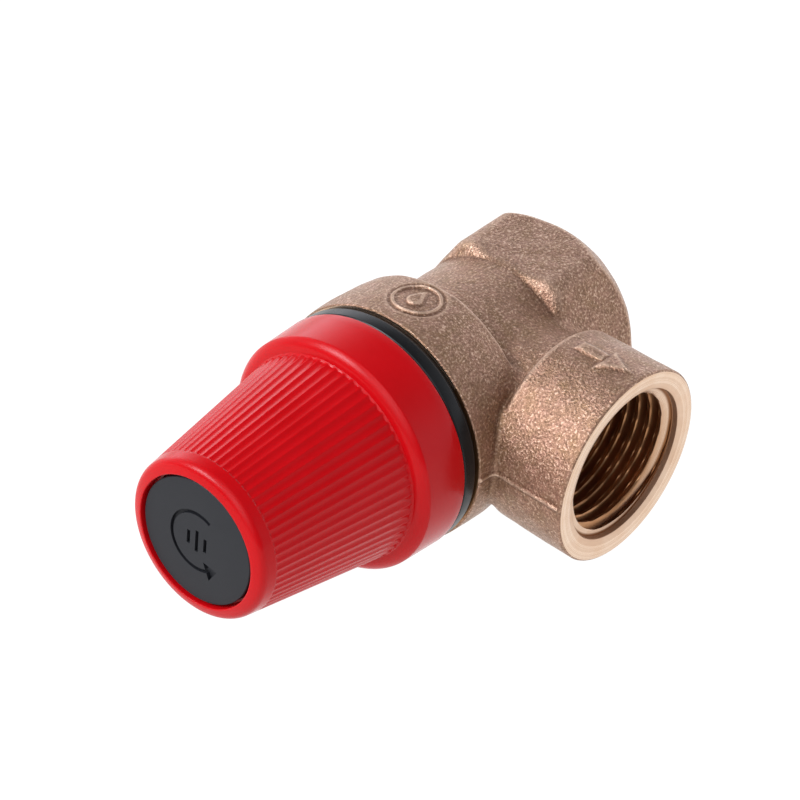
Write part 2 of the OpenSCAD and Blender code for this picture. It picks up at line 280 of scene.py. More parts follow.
class Material:
    """Principled material; co is the object coordinate in millimetres."""
    SOCKETS = {"color": "Base Color", "metallic": "Metallic", "roughness": "Roughness",
               "ior": "IOR", "normal": "Normal", "specular": "Specular IOR Level",
               "sss": "Subsurface Weight", "sss_scale": "Subsurface Scale",
               "sss_radius": "Subsurface Radius"}

    def __init__(self, name):
        self.material = bpy.data.materials.new(name)
        self.material.use_nodes = True
        self.tree = self.material.node_tree
        self.tree.nodes.clear()
        self.output = self.node("OutputMaterial")
        self.shader = self.node("BsdfPrincipled")
        put(self.tree, self.output.inputs[0], self.shader.outputs[0])
        place = self.node("TexCoord").outputs["Object"]
        self.co = self.node("VectorMath", {0: place, "Scale": 1000.0},
                            operation="SCALE").outputs[0]

    def node(self, kind, inputs=(), **settings):
        return add_node(self.tree, kind, inputs, **settings)

    def math(self, operation, a, b):
        return self.node("Math", (a, b, 0.0), operation=operation).outputs[0]

    def plus(self, a, b):
        return self.math("ADD", a, b)

    def minus(self, a, b):
        return self.math("SUBTRACT", a, b)

    def times(self, a, b):
        return self.math("MULTIPLY", a, b)

    def xyz(self):
        return self.node("SeparateXYZ", [self.co]).outputs

    def length(self, vector, keep):
        """Length of a vector, counting only the axes marked 1 in keep."""
        kept = self.node("VectorMath", (vector, keep), operation="MULTIPLY").outputs[0]
        return self.node("VectorMath", [kept], operation="LENGTH").outputs["Value"]

    def noise(self, scale, detail=3.0, rough=0.55, co=None, distort=0.0):
        return self.node("TexNoise", {
            "Vector": co or self.co, "Scale": scale, "Detail": detail,
            "Roughness": rough, "Distortion": distort}).outputs[0]

    def rings(self, radius, axial, scale):
        """Turning marks: noise that varies only with radius and axial place."""
        co = self.node("CombineXYZ", (radius, axial)).outputs[0]
        return self.noise(scale, detail=2.0, rough=0.6, co=co)

    def ramp(self, fac, low, high, mid=None):
        """0 at low to 1 at high, through an optional (position, value) between."""
        stops = [(low, 0.0), (high, 1.0)]
        node = self.node("ValToRGB", [fac])
        elements = node.color_ramp.elements
        if mid:
            stops.insert(1, mid)
            elements.new(0.5)
        for element, (position, value) in zip(elements, stops):
            element.position = position
            element.color = (value, value, value, 1)
        return node.outputs[0]

    def mix(self, fac, a, b):
        return self.node("Mix", {0: fac, 6: a, 7: b}, data_type="RGBA").outputs[2]

    def map(self, value, src, to):
        """Maps the range src to the range to, clamped."""
        return self.node("MapRange", (value, *src, *to)).outputs[0]

    def bump(self, height, depth, normal=None):
        """Bump of the given depth in millimetres."""
        inputs = {"Strength": 1.0, "Distance": depth * MM, "Height": height}
        if normal is not None:
            inputs["Normal"] = normal
        return self.node("Bump", inputs).outputs[0]

    def finish(self, **inputs):
        for key, value in inputs.items():
            put(self.tree, self.shader.inputs[self.SOCKETS[key]], value)
        return self.material


def srgb(*channels):
    """Linear colour from 0-255 sRGB channels."""
    unit = [c / 255 for c in channels]
    return tuple(c / 12.92 if c <= 0.04045 else ((c + 0.055) / 1.055) ** 2.4 for c in unit)


# --------------------------------------------------------------------------
# Materials
# --------------------------------------------------------------------------
def cast_bronze():
    """Grainy casting, paler on edges (partly wear, partly a painted highlight) and with painted
    shade darkening its corners.
    """
    m = Material("cast_bronze")
    grain = m.noise(scale=3.1, detail=2.5, rough=0.6)
    fine = m.noise(scale=7.5, detail=2.0, rough=0.6)
    cloud = m.noise(scale=0.22, rough=0.6)
    patch = m.noise(scale=0.6)
    pits = m.node("TexVoronoi", {"Vector": m.co, "Scale": 2.3}).outputs[0]
    color = m.mix(m.ramp(cloud, low=0.35, high=0.65), srgb(168, 131, 106), srgb(163, 128, 97))
    color = m.mix(m.ramp(patch, low=0.38, high=0.66), color, srgb(180, 139, 116))
    # dark hollows and bright tips of the grain
    speck = m.ramp(grain, low=0.30, mid=(0.48, 0.55), high=0.62)
    color = m.mix(speck, m.mix(0.62, color, srgb(88, 62, 50)), color)
    color = m.mix(m.ramp(grain, low=0.56, high=0.70), color, srgb(212, 180, 156))
    # "bend" is stored on the mesh: above 0 on edges, below 0 in corners
    bend = m.node("Attribute", attribute_name="bend").outputs["Fac"]
    # painted highlight along the edges, partly also wear: sharp edges get a paler colour
    color = m.mix(m.map(bend, src=(0.25, 1.8), to=(0.0, 0.52)), color, srgb(226, 194, 168))
    # painted shade: corners and creases get a darker colour
    color = m.mix(m.map(bend, src=(-1.2, -0.15), to=(0.45, 0.0)), color, srgb(96, 66, 48))
    height = m.plus(m.times(grain, 1.0), m.times(fine, 0.35))
    height = m.plus(height, m.times(m.math("MINIMUM", pits, 0.35), 0.5))
    normal = m.bump(m.noise(scale=0.45, rough=0.5), depth=0.10)
    normal = m.bump(height, depth=0.16, normal=normal)
    return m.finish(color=color, metallic=0.84, normal=normal, specular=0.5,
                    roughness=m.map(grain, src=(0.3, 0.7), to=(0.46, 0.29)))


def machined_bronze():
    """Bright turned bronze, its rings about the valve axis or the outlet axis."""
    m = Material("machined_bronze")
    x, y, _ = m.xyz()
    shifted = m.node("VectorMath", (m.co, (OUT_S, 0, 0)), operation="ADD").outputs[0]
    outlet_r = m.length(shifted, keep=(1, 0, 1))
    inlet_r = m.length(m.co, keep=(0, 1, 1))
    outlet = m.times(m.math("LESS_THAN", y, -11.0), m.math("LESS_THAN", x, -6.0))

    def choose(at_outlet, elsewhere):
        return m.plus(m.times(at_outlet, outlet),
                      m.times(elsewhere, m.minus(1.0, outlet)))

    rings = m.rings(choose(outlet_r, inlet_r), choose(y, x), scale=7.0)
    soft = m.noise(scale=0.35)
    color = m.mix(m.ramp(soft, low=0.35, high=0.68), srgb(238, 212, 188), srgb(230, 198, 170))
    color = m.mix(m.ramp(rings, low=0.40, high=0.62),
                  m.mix(0.25, color, srgb(170, 120, 85)), color)
    # inside the outlet, past its countersink: a darker colour as painted shade, and less ringed
    deep = m.times(outlet, m.map(y, src=(-25.9, -25.1), to=(0.0, 1.0)))
    ring_height = m.minus(1.0, m.times(deep, 0.85))
    color = m.mix(deep, color, m.mix(m.ramp(soft, low=0.35, high=0.68),
                                     srgb(184, 136, 96), srgb(168, 120, 82)))
    # painted shade: a dark band at the start of the outlet thread, standing in for the shadow
    # of its first groove
    band = m.times(m.map(outlet_r, src=(10.1, 10.35), to=(0.0, 1.0)),
                   m.map(outlet_r, src=(10.55, 10.70), to=(1.0, 0.0)))
    band = m.times(m.map(y, src=(-25.0, -25.4), to=(0.0, 1.0)), band)
    color = m.mix(m.times(outlet, band), color, srgb(140, 94, 60))
    normal = m.bump(m.times(rings, ring_height), depth=0.010)
    normal = m.bump(m.noise(scale=1.6, rough=0.6), depth=0.012, normal=normal)
    # the countersink, just inside the outlet face, is rougher
    sink = m.times(outlet, m.times(m.math("GREATER_THAN", y, OUT_Y + 0.02),
                                   m.map(y, src=(-26.2, -25.8), to=(1.0, 0.0))))
    rough = m.plus(m.map(rings, src=(0.35, 0.7), to=(0.20, 0.33)), m.times(deep, 0.08))
    rough = m.plus(rough, m.times(sink, 0.30))
    return m.finish(color=color, metallic=1.0, roughness=rough, normal=normal)


def red_plastic():
    m = Material("red_plastic")
    cloud = m.noise(scale=0.12, rough=0.5)
    color = m.mix(m.ramp(cloud, low=0.35, high=0.65),
                  (0.475, 0.0020, 0.0042), (0.505, 0.0027, 0.0055))
    waves = m.noise(scale=0.9, detail=2.0, rough=0.5)
    fine = m.noise(scale=9.0, detail=2.0, rough=0.6)
    scuffs = m.noise(scale=0.8, detail=4.0, rough=0.7, distort=1.5)
    rough = m.plus(m.map(scuffs, src=(0.35, 0.7), to=(0.13, 0.22)),
                   m.map(fine, src=(0.3, 0.7), to=(0.0, 0.04)))
    normal = m.bump(waves, depth=0.010)
    normal = m.bump(fine, depth=0.0018, normal=normal)
    return m.finish(color=color, metallic=0.0, roughness=rough, ior=1.45, specular=0.20,
                    normal=normal, sss=0.12, sss_scale=0.0012, sss_radius=(1.0, 0.12, 0.10))


def black_plastic():
    m = Material("black_plastic")
    fine = m.noise(scale=6.0, rough=0.6)
    cloud = m.noise(scale=0.3, rough=0.5)
    color = m.mix(m.ramp(cloud, low=0.3, high=0.7),
                  (0.005, 0.0052, 0.0055), (0.009, 0.0092, 0.0096))
    return m.finish(color=color, roughness=m.map(cloud, src=(0.3, 0.7), to=(0.22, 0.34)),
                    ior=1.45, normal=m.bump(fine, depth=0.004), specular=0.27)


def black_insert():
    m = Material("black_insert")
    fine = m.noise(scale=8.0, rough=0.65)
    cloud = m.noise(scale=0.35, rough=0.5)
    color = m.mix(m.ramp(fine, low=0.3, high=0.7), srgb(22, 23, 26), srgb(31, 32, 36))
    color = m.mix(m.times(cloud, 0.25), color, srgb(40, 40, 44))
    return m.finish(color=color, roughness=m.map(fine, src=(0.3, 0.7), to=(0.50, 0.64)),
                    ior=1.5, normal=m.bump(fine, depth=0.012), specular=0.32)


def rubber():
    m = Material("rubber")
    fine = m.noise(scale=5.0, detail=4.0, rough=0.65)
    color = m.mix(fine, (0.010, 0.010, 0.010), (0.024, 0.023, 0.022))
    return m.finish(color=color, roughness=m.map(fine, src=(0.3, 0.7), to=(0.55, 0.75)),
                    normal=m.bump(fine, depth=0.02), specular=0.35)


def turned_metal(name, color1, color2, rough, scale=9.0):
    """Lathe-turned metal: rings about the valve axis, faint stains, fine bump."""
    m = Material(name)
    rings = m.rings(m.length(m.co, keep=(0, 1, 1)), m.xyz()[0], scale)
    stain = m.noise(scale=0.7, rough=0.6)
    color = m.mix(m.ramp(stain, low=0.35, high=0.7), color1, color2)
    color = m.mix(m.times(rings, 0.35), color, tuple(c * 0.6 for c in color2))
    return m.finish(color=color, metallic=1.0, normal=m.bump(rings, depth=0.010),
                    roughness=m.map(rings, src=(0.3, 0.7), to=rough))


def nylon():
    m = Material("low_friction_plastic")
    fine = m.noise(scale=4.0, rough=0.6)
    return m.finish(color=m.mix(fine, srgb(226, 224, 214), srgb(240, 239, 232)),
                    roughness=m.map(fine, src=(0.3, 0.7), to=(0.38, 0.5)),
                    normal=m.bump(fine, depth=0.01),
                    sss=0.2, sss_scale=0.001, sss_radius=(1, 0.9, 0.8))


CAST = cast_bronze()
MACHINED = machined_bronze()
RED = red_plastic()
BLACK = black_plastic()
INSERT = black_insert()
RUBBER = rubber()
BRASS = turned_metal("turned_brass", srgb(226, 190, 120), srgb(214, 172, 104),
                     rough=(0.16, 0.30))
STEEL = turned_metal("zinc_steel", srgb(205, 207, 210), srgb(188, 190, 196),
                     rough=(0.20, 0.36))
WIRE = turned_metal("spring_wire", srgb(150, 152, 156), srgb(128, 130, 134),
                    rough=(0.26, 0.42), scale=6.0)
NYLON = nylon()


# --------------------------------------------------------------------------
# Cast skin of the body, as a distance field
# --------------------------------------------------------------------------
def smooth_min(a, b, blend):
    h = np.maximum(blend - np.abs(a - b), 0) / blend
    return np.minimum(a, b) - h * h * blend * 0.25


def smooth_max(a, b, blend):
    return -smooth_min(-a, -b, blend)


def inside(dist, soft):
    """1 inside a shape and 0 outside it, blurred over a width of about soft."""
    return 1 / (1 + np.exp(np.clip(dist / soft, -30, 30)))


def slant(u, v, at, normal):
    """Distance to a straight edge through a point, with the given normal."""
    return (u - at[0]) * normal[0] + (v - at[1]) * normal[1]


def round_cyl(r, s, rad, s0, s1, edge):
    """Distance to a cylinder of radius rad between two stations, its edges rounded."""
    dr = r - (rad - edge)
    ds = np.abs(s - (s0 + s1) / 2) - ((s1 - s0) / 2 - edge)
    beyond = np.hypot(np.maximum(dr, 0), np.maximum(ds, 0))
    return np.minimum(np.maximum(dr, ds), 0) + beyond - edge


def hexagon(y, z, flat, corner):
    """Distance to a hexagon with flats up and down, its corners rounded."""
    cos30, sin30, tan30 = 0.8660254, 0.5, 0.5773503
    side = flat - corner
    py, pz = np.abs(y), np.abs(z)
    fold = np.minimum(-cos30 * py + sin30 * pz, 0)
    py, pz = py + 2 * fold * cos30, pz - 2 * fold * sin30
    py = py - np.clip(py, -tan30 * side, tan30 * side)
    pz = pz - side
    return np.hypot(py, pz) * np.where(pz < 0, -1.0, 1.0) - corner


def cup_dist(r, s):
    """Cup under the cap, swelling a little towards its open end."""
    t = np.clip((s - 25.9) / 9.9, 0, 1.1)
    swell = 16.08 + 1.35 * t - 1.05 * t * t
    return round_cyl(r - (swell - 16.4), s, rad=16.4, s0=25.7, s1=38.0, edge=0.45)


def boss_dist(x, y, z):
    """Outlet boss, widening and dropping slightly towards its face."""
    low = np.clip((-y - 15) / 12, 0, 1)
    r = np.hypot(x + OUT_S, z + BOSS_DROP * low)
    rad = 13.22 + 0.22 * low
    return round_cyl(r - (rad - 13.4), -y, rad=13.4, s0=14.95, s1=29.0, edge=0.8)


def hex_dist(y, z, s):
    """Inlet hexagon, slightly off the axis and tapering towards the cup."""
    y, z = y - 0.18, z - 0.10
    r = np.hypot(y, z)
    dist = hexagon(y, z, flat=13.42 - 0.020 * s, corner=2.9)
    limits = (  # distance, blend
        (slant(r, s, at=(15.28, 5.0), normal=(0.995, 0.05)), 0.5),      # worn corners
        (slant(r, s, at=(12.5, 0.0), normal=(0.766, -0.643)), 0.25),    # inlet chamfer
        (slant(r, s, at=(14.6, 12.15), normal=(0.55, 0.835)), 0.75),    # chamfer by the neck
        (s - 13.2, 0.3),
        (-s - 0.6, 0.1))
    for limit, blend in limits:
        dist = smooth_max(dist, limit, blend)
    return dist


def seam_height(y, z, s):
    """Parting line of the mould, highest on the outlet boss."""
    uneven = 0.75 + 0.25 * np.sin(s * 2.3 + y * 1.7) * np.sin(s * 0.9 - y * 1.1)
    near = inside(np.abs(z) - 1.5, 0.125)
    return np.where(y < -14.5, 0.27, 0.06) * uneven * np.exp(-(z / 0.28) ** 2) * near


def drop_mark_depth(x, y, z, s):
    """Sunk round pad on top of the cup, with a raised ring and water drop."""
    u, v = x + 30.0, np.arctan2(y, np.maximum(z, 1e-3)) * 16.3 - 0.5
    r = np.hypot(u, v)
    ring = np.abs(r - 3.1) - 0.22
    # round belly towards the cap, point towards the inlet
    belly = np.hypot(u + 0.45, v) - 1.05
    point = np.abs(v) * 0.894 + (u + 0.45) * 0.447 - 1.06
    drop = np.minimum(belly, np.maximum(point, -(u + 0.25)))
    mark = inside(np.minimum(ring, drop), 0.085)
    pad = inside(r - 3.75, 0.12)
    return (0.30 * pad - 0.38 * mark) * (z > 8) * (s > 25) * (s < 35.5)


def arrow_height(x, y, z):
    """Raised flow arrow on top of the outlet boss, pointing at the outlet."""
    u, v = np.arctan2(x + OUT_S, np.maximum(z, 1e-3)) * 13.4 - 0.45, -y
    shaft = np.maximum(np.abs(u) - 0.92, np.abs(v - 19.7) - 2.1)
    head = slant(np.abs(u), v, at=(0.0, 25.05), normal=(0.853, 0.522))
    head = np.maximum(head, 21.65 - v)
    return 0.40 * inside(np.minimum(shaft, head), 0.15) * (z > 8) * (y < -14)


def skin_height(x, y, z, s):
    """Uneven skin of the casting, calmer at the cup's open end."""
    wave = (np.sin(x * 1.31 + 0.7) * np.sin(y * 1.13 + 1.9) * np.sin(z * 1.23 + 0.3) * 0.045
            + np.sin(x * 0.53 + y * 0.37) * np.sin(z * 0.61 - y * 0.29 + 1.1) * 0.05)
    return wave * np.clip((36.0 - s) / 2.0, 0.1, 1)


def cast_field(x, y, z):
    """Distance to the cast skin, negative inside."""
    s = -x
    r = np.hypot(y, z)
    neck = round_cyl(r, s, rad=13.15, s0=4.0, s1=30.0, edge=1.0)
    boss_root = round_cyl(np.hypot(x + OUT_S, z), -y, rad=11.2, s0=-2.0, s1=20.0, edge=0.5)
    dist = smooth_min(hex_dist(y, z, s), neck, 0.3)
    dist = smooth_min(dist, cup_dist(r, s), 0.4)
    dist = smooth_min(dist, boss_root, 1.8)
    dist = smooth_min(dist, boss_dist(x, y, z), 0.9)
    dist = dist - seam_height(y, z, s)
    dist = dist + drop_mark_depth(x, y, z, s)
    dist = dist - arrow_height(x, y, z)
    return dist - skin_height(x, y, z, s)


def field_at(points):
    return cast_field(points[:, 0], points[:, 1], points[:, 2])


def cast_mesh(cell):
    """Quads over the cast skin, sampled on a grid of the given cell size."""
    low = np.array([-39.0, -30.0, -17.8])
    high = np.array([1.6, 17.8, 17.8])
    count = np.ceil((high - low) / cell).astype(int) + 1
    xs, ys, zs = [low[i] + cell * np.arange(count[i]) for i in range(3)]
    volume = np.empty(count, np.float32)
    y, z = np.meshgrid(ys, zs, indexing="ij")
    for i, x in enumerate(xs):
        volume[i] = cast_field(np.full_like(y, x), y, z)
    grid = openvdb.FloatGrid(3 * cell)
    grid.copyFromArray(np.clip(volume, -3 * cell, 3 * cell))
    points, quads = grid.convertToQuads(0.0)
    points = points.astype(float) * cell + low
    # settle every point on the exact surface
    eps = 0.02
    steps = np.eye(3) * eps
    for _ in range(3):
        dist = field_at(points)
        slope = np.stack([field_at(points + step) - field_at(points - step)
                          for step in steps], -1) / (2 * eps)
        move = np.clip(dist / np.maximum((slope * slope).sum(-1), 0.25),
                       -0.3 * cell, 0.3 * cell)
        points = points - slope * move[:, None]
    return points, quads


# --------------------------------------------------------------------------
# Valve body: cast skin with the machined parts cut into it
# --------------------------------------------------------------------------
FACE_CUT_R = 25         # cutters reach this far past the casting

# cavity from the cup's side, around the seat nozzle, and the cup's face
CAVITY = [  # radius, station[, corner radius]
    (0, 10.6), (6.5, 10.6, 0), (6.5, 20.75, 0.1), (6.75, 21, 0.1), (7.05, 21, 0.1),
    (7.3, 20.75, 0.1), (8.1, 19.6, 0.3), (8.1, 15.5, 0.9), (11, 15.5, 0.9),
    (11, 27.2, 0.2), (11.9, 27.2, 0.2), (11.9, 28.5, 0.1), (14.2, 28.5, 0.2),
    (14.2, 35.45, 0.05), (14.55, CUP_END, 0.03), (16.16, CUP_END, 0),
    (16.31, CUP_END - 0.06, 0), (16.7, CUP_END - 0.4, 0), (FACE_CUT_R, CUP_END - 0.4, 0),
    (FACE_CUT_R, 45, 0), (0, 45)]


def thread_radius(turn):
    """Radius of a thread; turn counts pitches and is whole at a crest."""
    crest_width, root_width = 0.17, 0.15
    u = np.abs((turn + 0.5) % 1.0 - 0.5) * 2            # 0 at the crest, 1 at the root
    g = np.clip((u - crest_width) / (1 - crest_width - root_width), 0, 1)
    g = g * g * (3 - 2 * g) * 0.35 + g * 0.65
    return CREST + (ROOT - CREST) * g


def threaded_plug(place, depth, mouth, sink, sink_slope=0.0, wall=0.0, lead_slope=1.2,
                  phase=0.0, seg=192):
    """Cutter for a threaded port.

    From a mouth radius: a countersink of depth sink, a straight wall, a lead-in to
    the thread, and a run-out at the bottom. Slopes are radius lost per depth.
    """
    start, runout = -0.5, 1.2
    rows = int(round((depth - start) / (PITCH / 18))) + 1
    w, a = np.meshgrid(np.linspace(start, depth, rows), np.arange(seg) * TAU / seg,
                       indexing="ij")
    r = thread_radius((w - phase - PITCH * a / TAU) / PITCH)
    r = r + (CREST - r) * np.clip((w - (depth - runout)) / runout, 0, 1)
    opening = (mouth - np.minimum(w, sink) * sink_slope
               - np.maximum(w - sink - wall, 0) * lead_slope)
    r = np.maximum(r, np.maximum(opening, CREST))
    verts = np.stack([r * np.cos(a), r * np.sin(a), w], -1).reshape(-1, 3)
    faces = grid_faces(rows, seg).tolist()
    centre = len(verts)
    verts = place(np.vstack([verts, [[0, 0, start]], [[0, 0, depth]]]))
    last = (rows - 1) * seg
    for j in range(seg):
        k = (j + 1) % seg
        faces.append([centre, k, j])
        faces.append([centre + 1, last + j, last + k])
    return verts, facing_out(verts, faces)


def outlet_face_cutter():
    """Trims the boss to the outlet face and rounds its outer edge."""
    edge, flat_r = 0.45, 13.03
    rim = [(flat_r + edge * math.sin(a), edge - edge * math.cos(a))
           for a in np.radians(np.arange(0, 91, 11.25))]
    outline = [(0, -4), (FACE_CUT_R, -4), (FACE_CUT_R, edge)] + rim[::-1] + [(0, 0)]
    verts, faces = lathe_mesh(outline, 192)
    verts = outward(verts)
    verts[:, 2] -= BOSS_DROP
    return verts, faces


def body_cutters():
    cavity, cavity_faces = lathe_mesh(round_profile(CAVITY, 0.1, steps=4), 192)
    face, face_faces = lathe_mesh([(0, -4), (FACE_CUT_R, -4), (FACE_CUT_R, 0), (0, 0)], 192)
    passage, passage_faces = lathe_mesh([(0, 11.0), (7.5, 11.0), (7.5, 18.05), (0, 18.05)], 128)
    return [
        (along(cavity), cavity_faces),
        (along(face), face_faces),
        threaded_plug(along, depth=11.0, mouth=10.6, sink=0.25),
        outlet_face_cutter(),
        threaded_plug(outward, depth=11.35, mouth=11.5, sink=0.29, sink_slope=3.1,
                      wall=0.74, lead_slope=11.0, phase=0.25),
        (outward(passage), passage_faces)]


def read_mm(items, name):
    """Vector property of every mesh element, in millimetres."""
    values = np.empty(len(items) * 3)
    items.foreach_get(name, values)
    return values.reshape(-1, 3) * 1000


def mark_machined(mesh):
    """Material 1 on cut faces, which lie below the cast skin or on an end face."""
    centre = read_mm(mesh.polygons, "center")
    s, y = -centre[:, 0], centre[:, 1]
    machined = ((field_at(centre) < -0.7) | (s < 0.06) | (s > CUP_END - 0.02)
                | (y < OUT_Y + 0.03))
    mesh.polygons.foreach_set("material_index", machined.astype(np.int32))


def store_bend(mesh):
    """Stores how sharply the cast skin bends, for paler edges (partly wear, partly a painted
    highlight) and painted shade in corners.
    """
    step = 0.3
    points = read_mm(mesh.vertices, "co")
    here = field_at(points)
    bend = np.zeros(len(points))
    for axis in range(3):
        for offset in (-step, step):
            moved = points.copy()
            moved[:, axis] += offset
            bend += (field_at(moved) - here) / step ** 2
    bend[here < -0.5] = 0
    layer = mesh.attributes.new("bend", "FLOAT", "POINT")
    layer.data.foreach_set("value", bend.astype(np.float32))


def build_body():
    verts, faces = cast_mesh(cell=0.215)
    body = new_object("valve_body_casting", verts, facing_out(verts, faces), CAST)
    for verts, faces in body_cutters():
        cut_away(body, new_object("cutter", verts, faces, MACHINED))
    mesh = body.data
    mesh.materials.clear()
    mesh.materials.append(CAST)
    mesh.materials.append(MACHINED)
    mark_machined(mesh)
    store_bend(mesh)
    smooth(body, 30)
    register(body, "housing", "valve_body")


# --------------------------------------------------------------------------
# Red cap
# --------------------------------------------------------------------------
def cone_r(s):
    return CONE_R0 - (s - CONE_S) * CONE_SLOPE


def arc(start, radius, a0, a1, steps):
    """Profile points from start along an arc whose normal turns from a0 to a1,
    measured in degrees from the radial direction towards the nose."""
    cos0, sin0 = math.cos(math.radians(a0)), math.sin(math.radians(a0))
    return [(start[0] + radius * (math.cos(a) - cos0), start[1] + radius * (math.sin(a) - sin0))
            for a in np.radians(np.linspace(a0, a1, steps + 1))[1:]]


def cap_profile():
    """Closed (radius, station) profile, and the row range that carries the flutes."""
    skirt_r, skirt_s, lip, draft = 16.31, 38.82, 0.26, 0.0400
    # skirt, from its open edge to the shoulder
    pts = [(14.95, 38.58), (15.0, 38.56), (16.03, 38.56)]
    pts += [(skirt_r - lip + lip * math.sin(a), skirt_s - lip * math.cos(a))
            for a in np.radians([20, 45, 70, 90])]
    pts += [(skirt_r - (s - skirt_s) * draft, s) for s in (40, 41.5, 43, 44.0, 44.5, 44.80)]
    # shoulder: a tight bend, then an easy curve to the foot of the cone
    pts += arc(pts[-1], radius=0.42, a0=2.3, a1=32, steps=6)
    pts += arc(pts[-1], radius=2.05, a0=32, a1=83, steps=12)
    foot = pts[-1][1]
    pts += [(14.46, foot + 0.012), (14.36, foot + 0.022), (14.27, foot + 0.035),
            (cone_r(46.07) + 0.01, 46.07)]
    # fluted cone, with rows close together where the flutes start and stop
    first = len(pts)
    stations = [46.10, 46.13, 46.17, 46.21, 46.26, 46.35, 46.5, 46.8]
    stations += list(np.arange(47.4, 66.8, 0.75))
    stations += [67.0, 67.15, 67.25, 67.30, 67.34, 67.38, 67.42, 67.46, 67.55]
    pts += [(cone_r(s), s) for s in stations]
    last = len(pts)
    # nose: one easy curve that runs on to the edge of the insert
    pts += [(cone_r(s), s) for s in (67.8, 68.2, 68.6, 68.745)]
    pts += arc(pts[-1], radius=1.223, a0=10, a1=68, steps=12)
    pts += arc(pts[-1], radius=5.2, a0=68, a1=78.5, steps=6)
    pts += arc(pts[-1], radius=0.12, a0=78.5, a1=180, steps=5)
    pts = [(r, min(s, NOSE_S)) for r, s in pts]
    # recess for the insert, bore, web and the inner wall back to the skirt
    pts += [(9.06, 69.5), (9.05, 68.6), (8.98, 68.4), (8.74, 68.38),
            (8.74, 67.92), (8.70, 67.9), (7.64, 67.9), (7.6, 67.86),
            (7.6, 64), (7.6, WEB_S + 2.2), (7.4, WEB_S + 1.95), (2.6, WEB_S + 1.95),
            (2.4, WEB_S + 1.75), (2.4, WEB_S + 0.2), (2.6, WEB_S)]
    pts += [(cone_r(WEB_S) - 2.0, WEB_S), (cone_r(WEB_S) - CAP_WALL, WEB_S - 0.3)]
    pts += [(cone_r(s) - CAP_WALL, s) for s in (54, 50, 47)]
    pts += [(14.2, 43.6), (14.75, 41.8), (14.75, 38.75)]
    return np.array(pts), first, last


def cap_shell():
    """Shell with shallow scallops that meet in narrow crests; both ends stop square."""
    profile, first, last = cap_profile()
    per_flute = 12
    seg = FLUTES * per_flute
    angle = np.arange(seg) * TAU / seg
    across = np.abs((np.arange(seg) / per_flute + 0.31) % 1.0 - 0.5) / 0.47
    scallop = np.clip(1 - across ** 1.8, 0, 1)
    s = profile[:, 1][:, None]
    ends = np.clip((s - FLUTE_S0) / 0.14, 0, 1) * np.clip((FLUTE_S1 - s) / 0.16, 0, 1)
    shallower = np.clip(1 - (s - CONE_S) * 0.006, 0.8, 1)
    fluted = np.zeros(len(profile), bool)
    fluted[first:last] = True
    r = np.repeat(profile[:, 0][:, None], seg, 1)
    r = r - FLUTE_DEPTH * scallop[None, :] * ends * shallower * fluted[:, None]
    verts = np.stack([r * np.cos(angle), r * np.sin(angle), np.repeat(s, seg, 1)], -1)
    verts = along(verts.reshape(-1, 3))
    faces = grid_faces(len(profile), seg, close_rows=True)
    return new_object("cap_shell", verts, facing_out(verts, faces), RED, 40)


def build_cap():
    parts = [cap_shell()]
    low, high = CAP_RAMP_S + 0.008, CAP_RAMP_S + RAMP_RISE
    for start in range(0, 360, 90):
        # a long rise, then a short steep return
        for a0, a1, s0, s1 in ((0.3, 79.9, low, high), (80.8, 90.3, CAP_RAMP_S, low)):
            if s1 == high:
                s0, s1 = 56.088, high
            parts.append(helical_ramp(RED, RAMP_R, 10.55, start + a0, start + a1,
                                      base=WEB_S + 0.3, s0=s0, s1=s1))
    cap = join(parts, "twist_cap")
    smooth(cap, 40)
    register(cap, "cap", "knob")


# --------------------------------------------------------------------------
# Black insert with a sunk twist arrow
# --------------------------------------------------------------------------
def stroke(line, width=0.5):
    """Outline of an open line drawn with the given width."""
    line = np.array(line, float)
    tangent = np.gradient(line, axis=0)
    tangent /= np.linalg.norm(tangent, axis=1)[:, None]
    side = np.c_[-tangent[:, 1], tangent[:, 0]] * width / 2
    return np.vstack([line + side, (line - side)[::-1]])


def arrow_outlines():
    """Circular arrow, open on one side, with three short bars inside it."""
    radius, start, end = 4.1, -28, 205
    a = np.radians(np.linspace(start, end, 48))
    outlines = [stroke(np.c_[radius * np.cos(a), radius * np.sin(a)])]
    a = math.radians(end)
    ahead = np.array([-math.sin(a), math.cos(a)])
    outer = np.array([math.cos(a), math.sin(a)])
    tip = outer * radius
    outlines.append(np.array([tip + outer * 1.25 - ahead * 0.02, tip + ahead * 1.9,
                              tip - outer * 1.25 - ahead * 0.02]))
    for offset, half in ((1.35, 1.0), (0.0, 1.6), (-1.35, 1.0)):
        outlines.append(stroke([(-half, offset), (half, offset)]))
    return outlines


def build_insert():
    face, depth = DISC_FACE_S, 0.5
    insert = lathe("insert_disc", [
        (0, 67.95), (8.4, 67.95, 0.1), (8.66, 68.2, 0.1), (8.66, face - 0.1, 0.06),
        (8.56, face, 0.06), (0, face)], INSERT, seg=160, corner=0.1)
    for outline in arrow_outlines():
        n = len(outline)
        verts = along(np.vstack([np.c_[outline, np.full(n, face - depth)],
                                 np.c_[outline, np.full(n, face + 0.5)]]))
        faces = [list(range(n))[::-1], list(range(n, 2 * n))]
        for i in range(n):
            k = (i + 1) % n
            faces.append([i, k, n + k, n + i])
        cutter = new_object("cutter", verts, facing_out(verts, faces), INSERT)
        cut_away(insert, cutter, solver="EXACT")
    smooth(insert, 30)
    bevel = insert.modifiers.new("edge", "BEVEL")
    bevel.width = 0.05 * MM
    bevel.segments = 2
    bevel.limit_method = "ANGLE"
    bevel.angle_limit = math.radians(50)
    register(insert, "cap", "rating_disc")


